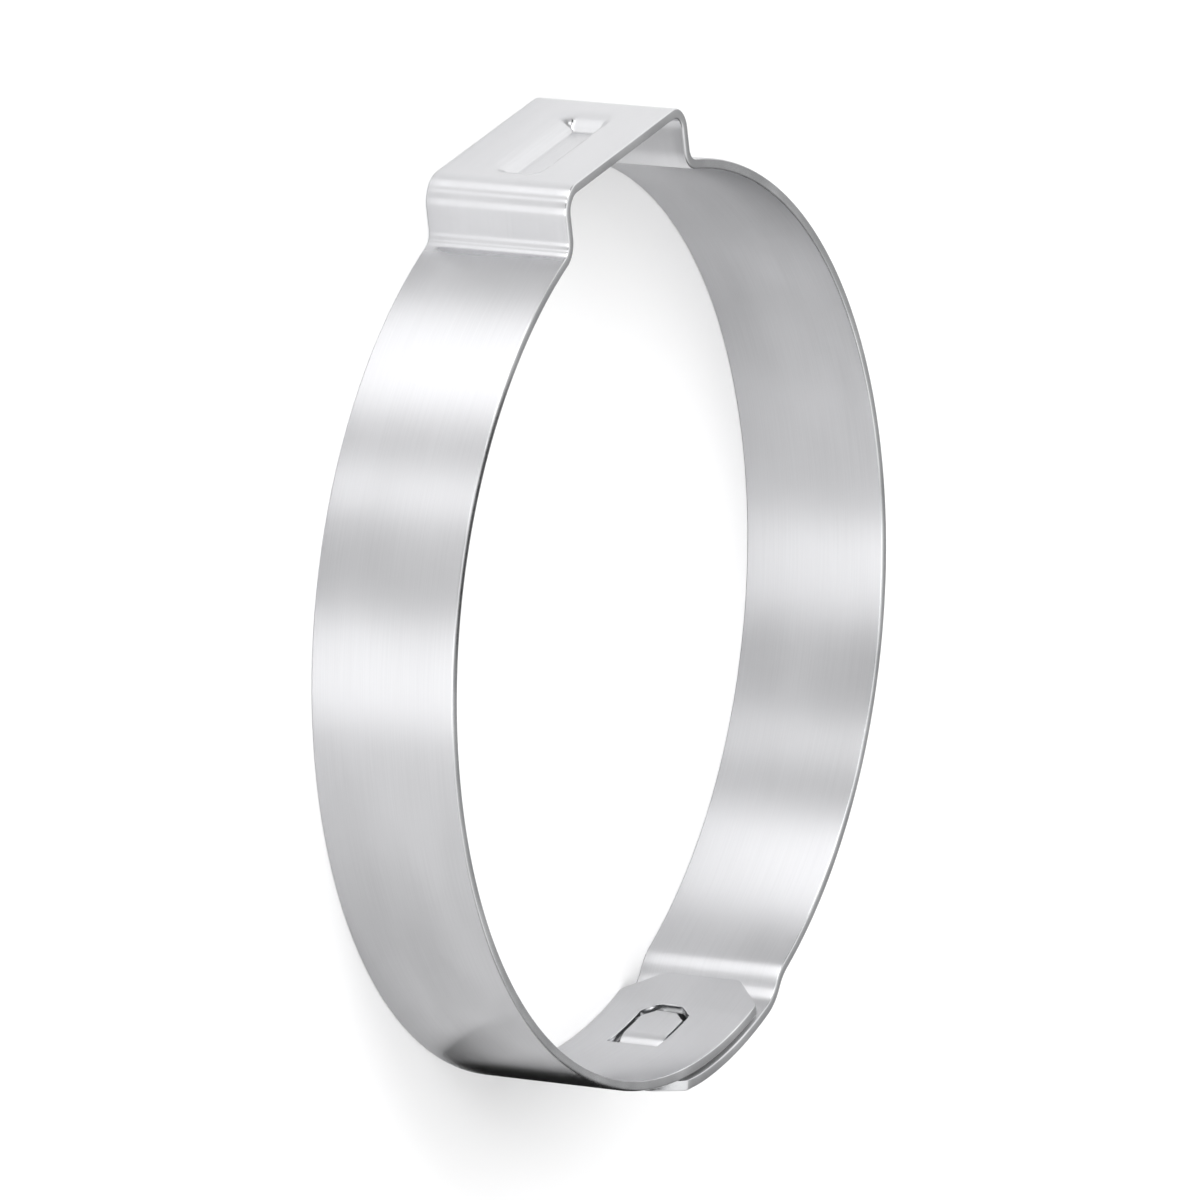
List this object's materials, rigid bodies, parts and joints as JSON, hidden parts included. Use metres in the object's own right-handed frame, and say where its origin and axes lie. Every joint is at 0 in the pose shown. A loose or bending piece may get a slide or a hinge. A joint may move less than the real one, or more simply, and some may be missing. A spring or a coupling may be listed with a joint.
{
  "type": "ear hose clamp",
  "caption": "Steel band clamp: a ring of flat strip with a pinch ear that tightens it, its ends lapped and held by a hook in a window.",
  "frame": {"origin": "on the ring's axis, half way along the strip's width", "axes": "+Z along the ring's axis, +X from the axis out through the middle of the ear"},
  "size_m": [0.0572, 0.0538, 0.009],
  "materials": {
    "steel": "satin"
  },
  "bodies": {
    "root": {"clamp_band": "steel"}
  },
  "joints": []
}
